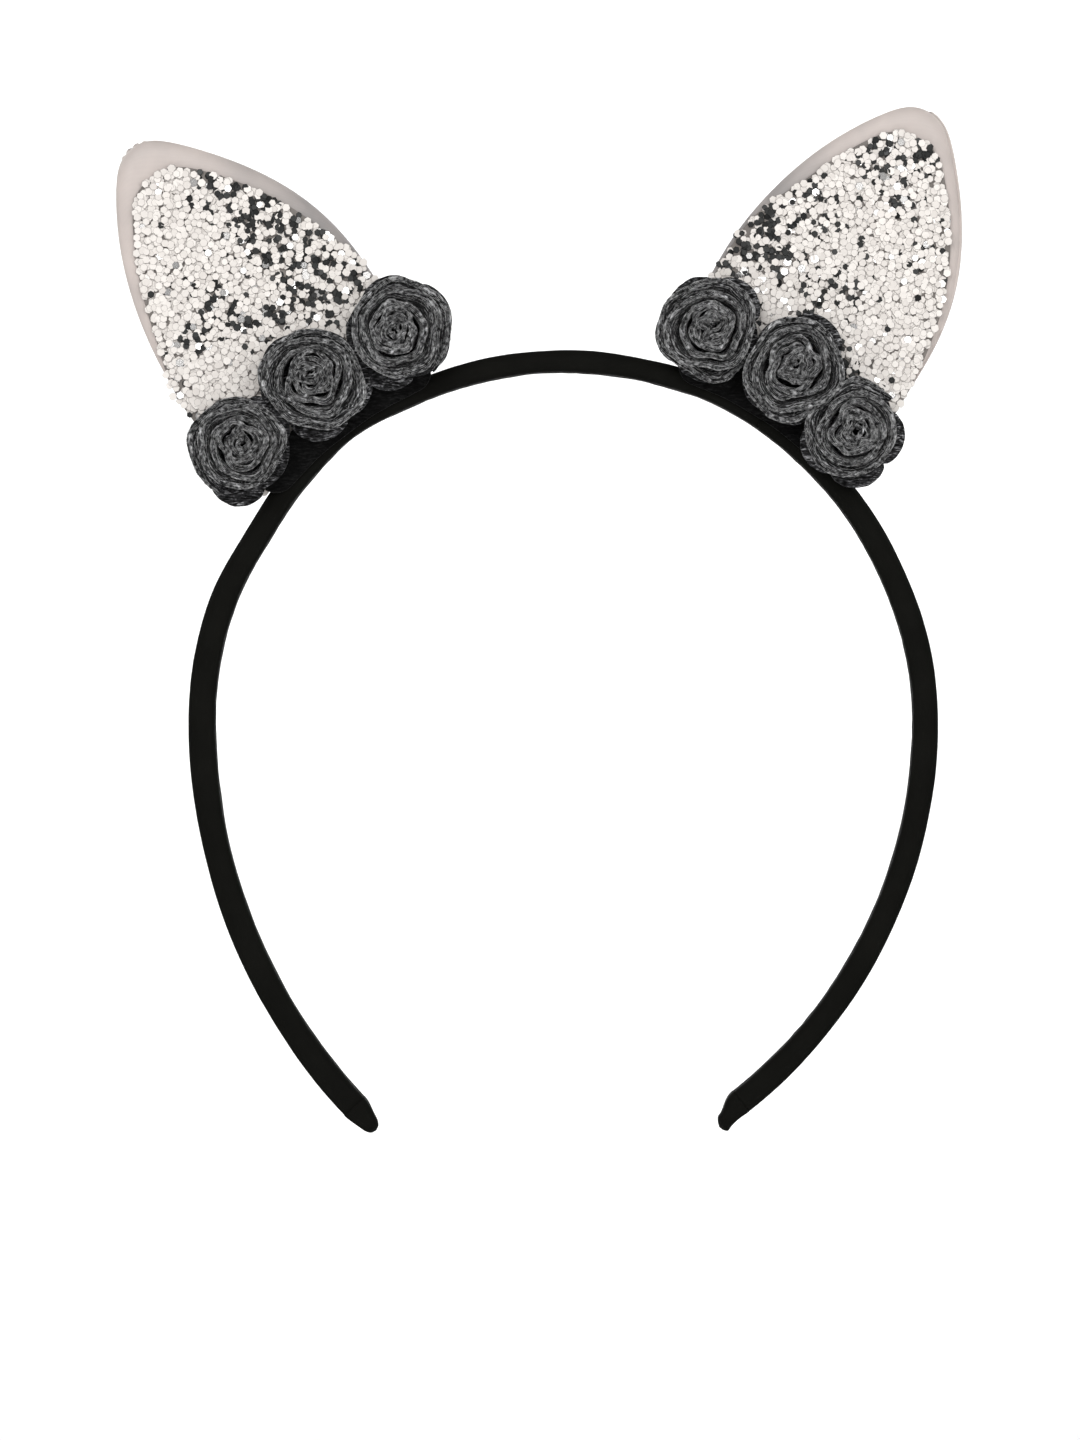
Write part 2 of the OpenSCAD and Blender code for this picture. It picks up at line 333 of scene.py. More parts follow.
def felt(name, dark, middle, light, uv_map=None):
    """Heather felt: fine fibres, some light and some dark, which follow a strip's length."""
    shader = Shader(name, Roughness=0.95, Sheen_Weight=0.08, Sheen_Roughness=0.5,
                    Specular_IOR_Level=0.05)
    turns = ((15, 40, 70), (80, 10, 25), (45, 75, 130), (120, 20, 95))
    if uv_map:
        shader.along(uv_map)
        turns = ((0, 0, 5), (0, 0, -14), (0, 0, 24), (0, 0, -48))
    shader.curl(3 * MM, 0.5 * MM)
    layers = [shader.range(shader.noise(0.27 * MM, 0.0, turn, (0.14, 1, 1)), 0, 1, 0.52, 0.78)
              for turn in turns]
    fibres = layers[0]
    for layer in layers[1:]:
        fibres = shader.math("MAXIMUM", fibres, layer)
    patches = shader.noise(1.4 * MM, 2, (30, 50, 0), (0.4, 1, 1))
    specks = shader.noise(0.34 * MM, 2, (0, 0, 0), (0.45, 1, 1), 0.7)
    fibres = shader.math("MULTIPLY", fibres, shader.range(patches, 0.5, 1, 0.35, 0.6))
    tone = shader.math("ADD", shader.math("MULTIPLY", fibres, 0.45),
                       shader.math("MULTIPLY", specks, 0.9))
    shader.feed("Base Color", shader.ramp(shader.range(tone, 0, 1, 0.45, 1.0),
                                          (0, dark), (0.5, middle), (1, light)))
    rough = shader.bump(patches, 0.12 * MM)
    shader.feed("Normal", shader.bump(tone, 0.1 * MM, rough))
    return shader.material


def loose_fibres():
    """Single wool fibres, some light and some dark."""
    shader = Shader("wool_fibres", Roughness=0.8, Specular_IOR_Level=0.2)
    painted_shades = shader.noise(0.7 * MM, 2)
    shader.feed("Base Color", shader.ramp(painted_shades, (0.35, (0.01,) * 3), (0.7, (0.5,) * 3)))
    return shader.material


def foam():
    """Open cells, as in the padding."""
    shader = Shader("open_foam", Roughness=0.95, Specular_IOR_Level=0.1)
    cells = shader.node("ShaderNodeTexVoronoi", {"Vector": shader.place, "Scale": 1 / (0.5 * MM)})
    shader.feed("Base Color", shader.ramp(cells.outputs["Distance"], (0, (0.03,) * 3), (1, (0.12,) * 3)))
    shader.feed("Normal", shader.bump(cells.outputs["Distance"], 0.1 * MM))
    return shader.material


def cloudy(name, size, detail, dark, light, roughness, depth, **sockets):
    """A moulded or set material: one noise shifts its tone, its roughness and its surface."""
    shader = Shader(name, **sockets)
    cloud = shader.noise(size, detail)
    shader.feed("Base Color", shader.ramp(cloud, (0.3, dark), (0.8, light)))
    shader.feed("Roughness", shader.range(cloud, *roughness))
    shader.feed("Normal", shader.bump(cloud, depth))
    return shader.material


def flakes_material(name, dark, light, metallic, low_rough, high_rough, specular=0.5):
    """Glitter film, whose tone differs from flake to flake, with painted shade on the cut edges."""
    shader = Shader(name, Metallic=metallic, Specular_IOR_Level=specular, Coat_Weight=0.16 * specular,
                    Coat_Roughness=0.2)
    tone = shader.node("ShaderNodeAttribute", attribute_name="tone").outputs["Fac"]
    # Painted shade for the cut edges, darker than the darkest flake.
    painted_edge_shade = [0.4 * channel for channel in dark]
    shader.feed("Base Color", shader.ramp(tone, (0, painted_edge_shade), (0.15, painted_edge_shade), (0.2, dark), (1, light)))
    shader.feed("Roughness", shader.range(tone, high_rough, low_rough))
    shader.feed("Normal", shader.bump(shader.noise(0.3 * MM, 2), 0.008 * MM))
    return shader.material


MATERIALS = {
    "band_satin": satin("black_satin", (0.0015,) * 3, (0.0075, 0.0075, 0.0065), 0.22 * MM, 0, 0.004,
                        0.5, "cloth"),
    # The ears' satin carries painted shade down their inner edges.
    "ear_satin": satin("beige_satin", (0.25, 0.235, 0.23), (0.58, 0.51, 0.475), 0.13 * MM, 0.06, 0.25,
                       0.42, with_painted_shade=True),
    "rose_felt": felt("grey_felt", (0.003,) * 3, (0.045, 0.045, 0.047), (0.36, 0.36, 0.37)),
    "strip_felt": felt("grey_felt_strip", (0.003,) * 3, (0.04, 0.04, 0.042), (0.72, 0.72, 0.73),
                       "felt"),
    "fibres": loose_fibres(),
    "base_felt": felt("black_felt", (0.001,) * 3, (0.004,) * 3, (0.012,) * 3),
    "ear_felt": felt("white_felt", (0.7, 0.68, 0.64), (0.82, 0.8, 0.76), (0.9, 0.89, 0.86)),
    "padding_foam": foam(),
    "strip_plastic": cloudy("moulded_strip", 0.4 * MM, 4, (0.014,) * 3, (0.03,) * 3, (0.35, 0.55),
                            0.01 * MM, Specular_IOR_Level=0.5),
    "glue": cloudy("set_glue", 1.5 * MM, 3, (0.72, 0.68, 0.56), (0.86, 0.84, 0.76), (0.12, 0.35),
                   0.12 * MM, Transmission_Weight=0.35, IOR=1.5, Coat_Weight=0.3),
    "thread": satin("black_thread", (0.002,) * 3, (0.008,) * 3, 0.12 * MM, 0, 0.3, 0.5),
    # The backing's dark tone is painted shade: it makes the gaps between flakes show as shadow lines.
    "backing": satin("glitter_backing", (0.05, 0.045, 0.04), (0.2, 0.18, 0.165), 0.3 * MM, 0.1, 0.3, 0.6),
    "pearl": flakes_material("pearl_flakes", (0.6, 0.56, 0.525), (0.735, 0.695, 0.655), 0, 0.4, 0.55),
    "silver": flakes_material("silver_flakes", (0.4, 0.39, 0.38), (0.85, 0.84, 0.83), 1, 0.12, 0.3),
    # Dark flakes: a painted reflection of dark surroundings, given as a dark colour.
    "dark": flakes_material("dark_reflection_flakes", (0.003, 0.0033, 0.0033), (0.03, 0.031, 0.03), 0, 0.25,
                            0.45, 0.15),
}


def finish_piece(piece, body, slot, *nodes):
    """The piece rides on a body and stands for its CAD nodes; slot is not used."""
    if body:
        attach(piece, body)
    if nodes:
        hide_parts(*nodes)


# ---- the band ------------------------------------------------------------------

# How much thinner the band is at the crown, and thicker at an arm's widest point
CROWN_THINNER = 0.5 * MM
ARM_THICKER = {"left": 0.35 * MM, "right": 0.05 * MM}
# Degrees between the band's rings
RING_STEP = 1.2
COVER_T = 0.35 * MM
LAYER_GAP = 0.05 * MM
STRIP_T = 1.8 * MM
STRIP_W = 6.8 * MM
PADDING_W = 7.6 * MM
TIP_LENGTH = 5.6 * MM
TIP_LAP = 0.5 * MM
TIP_NARROWS = 0.42
# How far the end of each tip stands off the line of its arm
TIP_SPLAY = {"left": 0.3 * MM, "right": 1.5 * MM}
# Where the band stands off its true arc: an angle, how far outwards, and over what angle
BAND_BOWS = {"left": ((36, 0.85 * MM, 8), (59, -0.6 * MM, 7)),
             "right": ((27, 0.45 * MM, 9), (66, -0.3 * MM, 12))}


def band_place(side, angle):
    """A point on the band's inner face, and the way out from there."""
    out = outward(angle)
    radius, centre = (HEAD_R, 0) if angle <= 90 else (LOW_R[side], HEAD_R - LOW_R[side])
    bow = sum(off * math.exp(-((angle - at) / reach) ** 2) for at, off, reach in BAND_BOWS[side])
    place = Vector((centre, 0, 0)) + out * (radius + bow)
    return Vector((place.x * SIGN[side], 0, place.z)), Vector((out.x * SIGN[side], 0, out.z))


def band_t(side, angle):
    """The band's thickness at an angle."""
    thin = CROWN_THINNER * (1 - smoothstep(angle, 10, 60))
    return BAND_T - thin + ARM_THICKER[side] * smoothstep(angle, 50, 85)


def bar_loop(low, high, width, low_r, high_r, steps=5):
    """A rounded bar's outline, as (distance from the band's inner face, y, its normal)."""
    half = width / 2
    corners = ((low + low_r, low_r - half, low_r, 180), (high - high_r, high_r - half, high_r, 270),
               (high - high_r, half - high_r, high_r, 0), (low + low_r, half - low_r, low_r, 90))
    loop = []
    for r, y, corner_r, start in corners:
        for k in range(steps + 1):
            a = math.radians(start + 90 * k / steps)
            across, along = math.cos(a), math.sin(a)
            loop.append((r + corner_r * across, y + corner_r * along, across, along))
    return loop


def cover_loop(thickness, width):
    """The cover's outline: flat towards the head with a sewn seam, full on the outside."""
    loop = bar_loop(0, thickness, width, 1.3 * MM, 2.0 * MM, 7)
    full = 0.12 * MM
    crown = [(thickness + full * (1 - abs(s)), s * width * 0.2, 1, 0) for s in (-0.6, 0, 0.6)]
    seam = [(depth * MM, y * MM, -1, 0) for y, depth in
            ((1.2, 0.03), (0.4, 0), (0.14, 0.06), (0, 0.3), (-0.14, 0.06), (-0.4, 0), (-1.2, 0.03))]
    return loop[:16] + crown + loop[16:] + seam


def wrinkle(side, angle, r, y):
    """Height of the cover's fine wrinkles, which cross the band on its inner side."""
    at = Vector((SIGN[side] * angle * 0.55, y / MM * 0.12, r / MM * 0.2))
    inner = 1 - smoothstep(r, 0.5 * MM, 3 * MM)
    return noise.noise(at * 0.22) * 0.12 * MM + noise.noise(at * 1.3) * (0.03 + 0.05 * inner) * MM


def band_ring(side, angle, loop, lift=0.0, wrinkled=False, squeeze=(1, 1)):
    """A loop placed round the band, lifted along its own normals."""
    place, out = band_place(side, angle)
    middle = band_t(side, angle) / 2
    ring = []
    for r, y, normal_r, normal_y in loop:
        rise = lift + (wrinkle(side, angle, r, y) if wrinkled else 0)
        r = middle + (r + normal_r * rise - middle) * squeeze[0]
        y = (y + normal_y * rise) * squeeze[1]
        ring.append(place + out * r + Vector((0, y, 0)))
    return ring


def band_stations(part):
    """The sides and angles of a part's rings, from end to end."""
    if part == "crown":
        start, end = -SEAM_ANGLE["left"], SEAM_ANGLE["right"]
    else:
        start, end = SEAM_ANGLE[part], 90 + LOW_ANGLE[part]
    count = round((end - start) / RING_STEP)
    angles = [start + (end - start) * i / count for i in range(count + 1)]
    if part == "crown":
        return [("left" if a < 0 else "right", abs(a)) for a in angles]
    return [(part, a) for a in angles]


def map_band_cloth(piece, stations, size):
    """Gives the satin its map, along the band and round it."""
    along = [0.0]
    for (side, a), (_, b) in zip(stations, stations[1:]):
        along.append(along[-1] + abs(math.radians(b - a)) * (OUTER_R if b <= 90 else LOW_R[side]))
    add_cloth_map(piece, "cloth", along, [k / size * 2 * (BAND_W + BAND_T) for k in range(size)])


def place_band_piece(piece, part, slot, layer=None):
    """The crown's pieces ride on it and an arm's are baked where they lie; a layer stands for its CAD
    nodes.
    """
    nodes = [f"hoop_{layer}_{each}" for each in dict.fromkeys((part, "crown"))] if layer else []
    finish_piece(piece, "crown" if part == "crown" else None, slot, *nodes)
    if part != "crown":
        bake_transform(piece)


def make_cover(part):
    stations = band_stations(part)
    outer, inner = [], []
    for side, angle in stations:
        loop = cover_loop(band_t(side, angle), BAND_W)
        outer.append(band_ring(side, angle, loop, 0, True))
        inner.append(band_ring(side, angle, loop, -COVER_T, True))
    piece = sweep(f"satin_cover_{part}", outer, MATERIALS["band_satin"], inner)
    map_band_cloth(piece, stations, len(outer[0]))
    place_band_piece(piece, part, "band_satin", "cover")


def make_band_layer(part, name, layer, slot, low, width, corner_r, top=None):
    rings = []
    for side, angle in band_stations(part):
        high = top if top else band_t(side, angle) - COVER_T - LAYER_GAP
        rings.append(band_ring(side, angle, bar_loop(low, high, width, corner_r, corner_r)))
    piece = sweep(f"{name}_{part}", rings, MATERIALS[slot])
    place_band_piece(piece, part, slot, layer)
    return piece


def make_seam_thread(part):
    """Short stitches that close the cover along the middle of its inner side."""
    points, faces = [], []
    sides, half, radius, pitch = 6, 0.55 * MM, 0.09 * MM, 2.1 * MM
    last = None
    for side, angle in band_stations(part):
        place, out = band_place(side, angle)
        along = Vector((-out.z, 0, out.x))
        if last is not None and (place - last).length < pitch:
            continue
        last = place
        centre = place + out * 0.05 * MM
        first = len(points)
        for share, grow in ((-1, 0.3), (-0.8, 0.9), (0, 1), (0.8, 0.9), (1, 0.3)):
            sunk = out * 0.12 * MM * share ** 2
            for k in range(sides):
                a = math.tau * k / sides
                across = out * math.sin(a) + Vector((0, math.cos(a), 0))
                points.append(centre + sunk + along * half * share + across * radius * grow)
        faces += ring_faces(5, sides, first=first)
        faces += [[first + k for k in range(sides)], [first + 4 * sides + k for k in range(sides)]]
    piece = make_object(f"seam_thread_{part}", points, faces, MATERIALS["thread"])
    place_band_piece(piece, part, "band_satin")


def make_tip(side):
    """The cover's end: gathered, folded over the strip's end and glued down flat."""
    start = 90 + LOW_ANGLE[side]
    lap, span = (math.degrees(length / (LOW_R[side] + BAND_T / 2)) for length in (TIP_LAP, TIP_LENGTH))
    rounding, steps = 0.3, 26
    angles = [start - lap + (span + lap) * i / steps for i in range(steps + 1)]
    loop = cover_loop(band_t(side, 90), BAND_W)
    rings = []
    for i, angle in enumerate(angles):
        share = i / steps
        taper = 1 - TIP_NARROWS * smoothstep(share, 0, 0.95)
        near_end = max(0, (share - 1 + rounding) / rounding)
        closing = math.sqrt(max(0.002, 1 - near_end ** 2.2))
        knob = 0.14 * math.exp(-((share - 0.86) / 0.09) ** 2) if side == "right" else 0
        ring = band_ring(side, angle, loop, 0.06 * MM, False,
                         ((taper + knob) * closing, (1 - 0.22 * smoothstep(share)) * closing))
        gather = 0.11 * MM * smoothstep(share, 0.05, 0.5) * closing
        splay = band_place(side, angle)[1] * TIP_SPLAY[side] * smoothstep(share) ** 1.5
        ring = [p + splay for p in ring]
        centre = sum(ring, Vector()) / len(ring)
        rings.append([p + (p - centre).normalized() * gather
                      * noise.noise(Vector((j * 0.55, share * 2.5, SIGN[side] * 3)))
                      for j, p in enumerate(ring)])
    piece = sweep(f"folded_tip_{side}", rings, MATERIALS["band_satin"])
    map_band_cloth(piece, [(side, angle) for angle in angles], len(rings[0]))
    finish_piece(piece, f"{side}_arm", "band_satin", f"tip_tab_{side}")


for part in ("crown", *SIDES):
    strip_low = COVER_T + LAYER_GAP
    make_band_layer(part, "plastic_strip", "core", "strip_plastic", strip_low, STRIP_W, 0.7 * MM,
                    strip_low + STRIP_T)
    padding = make_band_layer(part, "foam_padding", "padding", "padding_foam",
                              strip_low + STRIP_T + LAYER_GAP, PADDING_W, 0.75 * MM)
    make_cover(part)
    make_seam_thread(part)
for side in SIDES:
    make_tip(side)


# ---- the ears ------------------------------------------------------------------

# Share by which an ear is narrower at its foot, and how far its middle leans sideways
FOOT_PINCH = 0.12
EAR_SWAY = 0.8 * MM
SATIN_T = 0.3 * MM
EDGE_ROUND = 3.2 * MM
FRONT_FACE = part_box("ear_left_satin_front")[0].y
BACK_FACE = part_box("ear_left_satin_back")[1].y
SEAM_Y = (FRONT_FACE + BACK_FACE) / 2
EAR_DEPTH = (BACK_FACE - FRONT_FACE) / 2
# Heights on each ear in millimetres, to the left (-1) and right (1) of its middle, between
# which the satin border runs out downwards and flakes take its place
RAGGED = {"left": {-1: (34, 19), 1: (32, 20)}, "right": {-1: (42, 27), 1: (22, 9)}}
# A panel's half width, widest height, height, sideways shift and the power of its upper curve
Panel = namedtuple("Panel", "w belly h shift power")


class Ear:
    """One ear's own place: u along the band, v away from it, as the CAD's ear lies."""

    def __init__(self, side):
        self.side = side
        places = vertices(f"ear_{side}_satin_front")
        angles, reach = polar(places)
        foot = angles[reach < reach.min() + 0.05 * MM]
        base_angle = (foot.min() + foot.max()) / 2
        self.base = outward(base_angle) * OUTER_R
        top = places[reach.argmax()]
        upward = Vector((top[0], 0, top[2])) - self.base
        turn = math.degrees(math.atan2(upward.x, upward.z))
        self.lean = math.radians(turn - base_angle)
        self.up = outward(turn)
        self.right = Vector((self.up.z, 0, -self.up.x))
        self.satin = self.measure(f"ear_{side}_satin_front")
        self.glitter = self.measure(f"ear_{side}_glitter")
        self.outline = np.array(self.outline_points())

    def measure(self, node):
        """A panel's size and shift, as it is in the CAD."""
        local = vertices(node) - np.array(self.base)
        u, v = local @ np.array(self.right), local @ np.array(self.up)
        return Panel((u.max() - u.min()) / 2, v[u.argmax()], v.max(), (u.max() + u.min()) / 2,
                     0.78 if "satin" in node else 0.7)

    def place(self, u, v, y):
        return self.base + self.right * u + self.up * v + Vector((0, y, 0))

    def foot(self, u):
        """Height of the band's outer side under a point of the ear."""
        lift = OUTER_R * math.cos(self.lean)
        return math.sqrt(lift ** 2 - u * u + 2 * OUTER_R * u * math.sin(self.lean)) - lift

    @staticmethod
    def reach(panel, v):
        """Half of a panel's width at a height."""
        if v > panel.belly:
            share = min((v - panel.belly) / (panel.h - panel.belly), 1)
            blunter = 0.1 * share ** 4 + 0.14 * share ** 12
            return panel.w * (1 - share ** 2) ** (panel.power - blunter)
        return panel.w * (1 - FOOT_PINCH * ((panel.belly - v) / panel.belly) ** 2)

    @staticmethod
    def sway(v):
        """How far the ear's middle leans sideways between its belly and its tip."""
        return EAR_SWAY * math.sin(math.pi * smoothstep(v, 8 * MM, 64 * MM))

    def outline_points(self):
        """Points round the satin's edge, the foot included."""
        rows = [(self.reach(self.satin, v), v) for v in self.heights(self.satin, 90)]
        low = rows[0][0]
        foot = [low * (1 - 2 * i / 40) for i in range(41)]
        right = [(w + self.sway(v), v + self.foot(w) * self.sink(v)) for w, v in rows]
        left = [(self.sway(v) - w, v + self.foot(-w) * self.sink(v)) for w, v in reversed(rows)]
        return right + left + [(-u, self.foot(-u)) for u in foot]

    def sink(self, v):
        """Share of the foot's curve that a row at this height follows."""
        return (1 - min(v / self.satin.h, 1)) ** 3

    @staticmethod
    def heights(panel, rows):
        """Heights of a panel's rows, closer together towards the tip."""
        return [panel.h * math.sin(math.pi / 2 * i / rows) for i in range(rows + 1)]

    def inset(self, u, v):
        """How far inside the satin's edge each point lies."""
        at = np.stack([u, v], 1)[:, None, :]
        start = self.outline[None, :, :]
        step = np.roll(self.outline, -1, 0)[None, :, :] - start
        length = np.maximum((step ** 2).sum(2), 1e-18)
        share = np.clip(((at - start) * step).sum(2) / length, 0, 1)
        return np.sqrt((((start + step * share[..., None]) - at) ** 2).sum(2)).min(1)

    def fullness(self, inset):
        """0 at the seam, rising round the padded edge to 1, and a little more inside."""
        share = np.clip(inset / EDGE_ROUND, 0, 1)
        return np.sqrt(1 - (1 - share) ** 2) * (0.9 + 0.1 * np.clip(inset / (14 * MM), 0, 1))

    def spread(self, v, way):
        """How far the glitter reaches from its middle: low down, as far as the satin's edge."""
        high, bare = RAGGED[self.side][way]
        low = smoothstep(v, high * MM, bare * MM)
        own = self.reach(self.glitter, v)
        return own + low * (self.reach(self.satin, v) - own)

    def grid(self, panel, rows, columns, inset=0.0):
        """Rows of (u, v) over a panel, from its foot to its tip."""
        found = []
        smaller = panel._replace(w=panel.w - inset, h=panel.h - 1.4 * inset)
        for v in self.heights(smaller, rows):
            for j in range(columns + 1):
                across = math.sin(math.pi / 2 * (2 * j / columns - 1))
                half = self.reach(smaller, v)
                if panel is self.glitter:
                    half += self.spread(v, -1 if across < 0 else 1) - self.reach(panel, v)
                u = across * half + panel.shift + self.sway(v)
                found.append((u, v + inset * (1 - v / smaller.h) + self.foot(u) * self.sink(v)))
        return np.array(found)


def surface(name, ear, grid, columns, y, material, thickness, way=-1):
    """A sheet over a grid of (u, v) that faces front (-1) or back (1), its thickness behind."""
    points = [ear.place(u, v, depth) for (u, v), depth in zip(grid, y)]
    size = columns + 1
    faces = ring_faces(len(grid) // size, size, closed_rings=False)
    piece = make_object(name, points, faces, material)
    shape = bmesh.new()
    shape.from_mesh(piece.data)
    bmesh.ops.remove_doubles(shape, verts=shape.verts, dist=0.005 * MM)
    facing = sum((f.normal * f.calc_area() for f in shape.faces), Vector())
    if (facing.y > 0) == (way < 0):
        bmesh.ops.reverse_faces(shape, faces=shape.faces)
    shape.to_mesh(piece.data)
    shape.free()
    thicken = piece.modifiers.new("thickness", "SOLIDIFY")
    thicken.thickness = thickness
    thicken.offset = -1
    with bpy.context.temp_override(object=piece, active_object=piece, selected_objects=[piece]):
        bpy.ops.object.modifier_apply(modifier=thicken.name)
    piece.data.polygons.foreach_set("use_smooth", [True] * len(piece.data.polygons))
    return piece


def paint_inner_edge_shade(piece, ear):
    """Painted shade: the front satin darkens down the ear's inner edge, where the padded fold shades it,
    and fully below the ear's foot.
    """
    painted_shades = []
    for vertex in piece.data.vertices:
        local = vertex.co - ear.base
        inward = -SIGN[ear.side] * local.dot(ear.right)
        v = local.dot(ear.up)
        painted_shades.append(smoothstep(inward, 2 * MM, 14 * MM) * smoothstep(v, 58 * MM, 30 * MM)
                      if v > 0 else 1)
    piece.data.attributes.new("painted_shade", "FLOAT", "POINT").data.foreach_set("value", painted_shades)


def make_satin_panels(ear):
    rows, columns = 54, 44
    grid = ear.grid(ear.satin, rows, columns)
    full = ear.fullness(ear.inset(grid[:, 0], grid[:, 1]))
    ripple = np.array([noise.noise(Vector((u / MM * 0.16, v / MM * 0.16, SIGN[ear.side] * 5)))
                       for u, v in grid]) * 0.12 * MM * full
    for face, way in (("front", -1), ("back", 1)):
        y = SEAM_Y + way * (0.03 * MM + full * (EAR_DEPTH - 0.1 * MM) + ripple)
        piece = surface(f"satin_ear_{ear.side}_{face}", ear, grid, columns, y,
                        MATERIALS["ear_satin"], SATIN_T, way)
        # Only the front satin gets the painted shade.
        if face == "front":
            paint_inner_edge_shade(piece, ear)
        finish_piece(piece, "crown", "ear_satin", f"ear_{ear.side}_satin_{face}")


def make_ear_core(ear):
    """The stiff felt inside, cut a little smaller than the satin."""
    rows, columns = 30, 24
    grid = ear.grid(ear.satin, rows, columns, 0.9 * MM)
    full = ear.fullness(ear.inset(grid[:, 0], grid[:, 1]))
    front = SEAM_Y - full * (EAR_DEPTH - 0.75 * MM)
    piece = surface(f"felt_core_{ear.side}", ear, grid, columns, front, MATERIALS["ear_felt"],
                    2 * (EAR_DEPTH - 0.9 * MM))
    finish_piece(piece, "crown", "ear_felt", f"ear_{ear.side}_core")


BACKING_T = 0.4 * MM


def panel_y(ear, u, v):
    """Where the glitter panel's front lies over the satin."""
    full = ear.fullness(np.maximum(ear.inset(u, v), 1.0 * MM))
    return SEAM_Y - full * (EAR_DEPTH - 0.05 * MM) - 0.15 * MM - BACKING_T


FLAKE_R = 0.78 * MM
FLAKE_T = 0.08 * MM
FLAKE_EDGE = 0.05 * MM
# Share of its radius by which a flake lies off its row
FLAKE_JITTER = 0.45
# How far apart the flakes of the lower and the upper layer lie, and how the layer is shifted
FLAKE_LAYERS = ((0.86, 0), (0.88, 0.37))
# Patches where the flakes painted dark gather, as (u, v, radius) in millimetres on each ear; the dark is
# a painted reflection of dark surroundings
DARK_REFLECTION_PATCHES = {
    "left": ((8, 49, 3), (11, 43, 4), (13, 37, 5), (8, 36, 4), (16, 30, 5), (17, 22, 4), (9, 25, 4.5),
             (0, 23, 3), (-5, 33, 3), (-4, 28, 3), (-12, 28, 2.5), (4, 49, 2), (10, 18, 3)),
    "right": ((3, 55, 3), (-5, 52, 3), (2, 45, 2.5), (-12, 40, 2.5), (-16, 30, 4), (-19, 22, 4),
              (-12, 25, 3), (-9, 35, 2), (-13, 14, 3), (-3, 22, 2.5), (3, 26, 2.5), (10, 4, 4),
              (14, 3, 4), (6, 14, 3), (12, 12, 2.5), (-2, 14, 2.5)),
}


def flake_places(ear, rng, spread, shift):
    """Places of one layer of flakes: loose staggered rows, ragged near the foot."""
    panel = ear.glitter
    across, up = FLAKE_R * 1.73 * spread, FLAKE_R * 1.5 * spread
    rows, columns = int((panel.h + 6 * MM) / up), int(26 * MM / across)
    found = []
    for i in range(rows):
        for j in range(-columns, columns + 1):
            u = (j + 0.5 * (i % 2) + shift) * across + rng.gauss(0, FLAKE_JITTER) * FLAKE_R
            v = (i + shift) * up - 4 * MM + rng.gauss(0, FLAKE_JITTER) * FLAKE_R
            middle = panel.shift + ear.sway(v)
            way = -1 if u < middle else 1
            wide = ear.spread(v, way) if v < panel.h else 0
            low = smoothstep(v, *(height * MM for height in RAGGED[ear.side][way]))
            ragged = 0.45 * MM + low * (rng.random() ** 2 * 2.2 - 1.0) * MM
            if wide - abs(u - middle) > ragged and v > ear.foot(u) + 0.5 * MM:
                found.append((u, v))
    return found


def make_glitter(ear):
    rows, columns = 34, 28
    grid = ear.grid(ear.glitter, rows, columns, 0.1 * MM)
    y = panel_y(ear, grid[:, 0], grid[:, 1])
    backing = surface(f"glitter_backing_{ear.side}", ear, grid, columns, y,
                      MATERIALS["backing"], BACKING_T)
    finish_piece(backing, "crown", "glitter", f"ear_{ear.side}_glitter")

    rng = random.Random(31 if ear.side == "left" else 47)
    bed, top = (flake_places(ear, rng, *layer) for layer in FLAKE_LAYERS)
    places = np.array(bed + top)
    depths = panel_y(ear, places[:, 0], places[:, 1])
    points, faces, tones, kinds = [], [], [], []
    order = ("pearl", "silver", "dark")
    for i, ((u, v), depth) in enumerate(zip(places, depths)):
        on_top = i >= len(bed)
        kind = flake_kind(ear, u / MM, v / MM, rng)
        tilt = abs(rng.gauss(0, 9 if kind == "dark" else 4)) + 0.5
        turn = (Matrix.Rotation(rng.random() * math.tau, 3, "Y")
                @ Matrix.Rotation(math.radians(tilt), 3, "X")
                @ Matrix.Rotation(rng.random() * math.tau, 3, "Y"))
        radius = FLAKE_R * (rng.uniform(0.7, 0.9) if kind == "dark" else rng.uniform(0.85, 1.08))
        lift = 0.32 * MM + rng.random() * 0.25 * MM if on_top else 0.08 * MM
        centre = ear.place(u, v, depth - lift)
        first = len(points)
        for ring_r, y in ((radius, FLAKE_T / 2), (radius, 0), (radius - FLAKE_EDGE, -FLAKE_T / 2)):
            points += [centre + turn @ Vector((ring_r * math.cos(math.tau * k / 6), y,
                                               ring_r * math.sin(math.tau * k / 6))) for k in range(6)]
        faces += [[first + k for k in range(6)], [first + 12 + k for k in range(6)]]
        faces += ring_faces(3, 6, first=first)
        tone = 0.3 + 0.7 * rng.random()
        # The twelve side faces take tone 0, the painted edge shade.
        tones += [tone] * 2 + [0] * 12
        kinds += [order.index(kind)] * 14
    flakes = make_object(f"glitter_flakes_{ear.side}", points, faces, MATERIALS["pearl"], smooth=False)
    for name in order[1:]:
        flakes.data.materials.append(MATERIALS[name])
    flakes.data.polygons.foreach_set("material_index", kinds)
    flakes.data.attributes.new("tone", "FLOAT", "FACE").data.foreach_set("value", tones)
    finish_piece(flakes, "crown", "glitter", f"ear_{ear.side}_glitter")


def flake_kind(ear, u, v, rng):
    """Mostly pearl, with silver here and there, and loose clusters of flakes painted dark as a painted
    reflection of dark surroundings.
    """
    gather = sum(math.exp(-((u - pu) ** 2 + (v - pv) ** 2) / r ** 2)
                 for pu, pv, r in DARK_REFLECTION_PATCHES[ear.side])
    cluster = noise.noise(Vector((u * 0.55, v * 0.55, 7 * SIGN[ear.side])))
    loose = 0.02 if ear.side == "left" else 0.06
    chance = loose + 0.8 * min(1, 1.3 * gather) * smoothstep(cluster, -0.25, 0.15)
    if rng.random() < chance:
        return "dark"
    return "silver" if rng.random() < 0.02 + 0.2 * chance else "pearl"


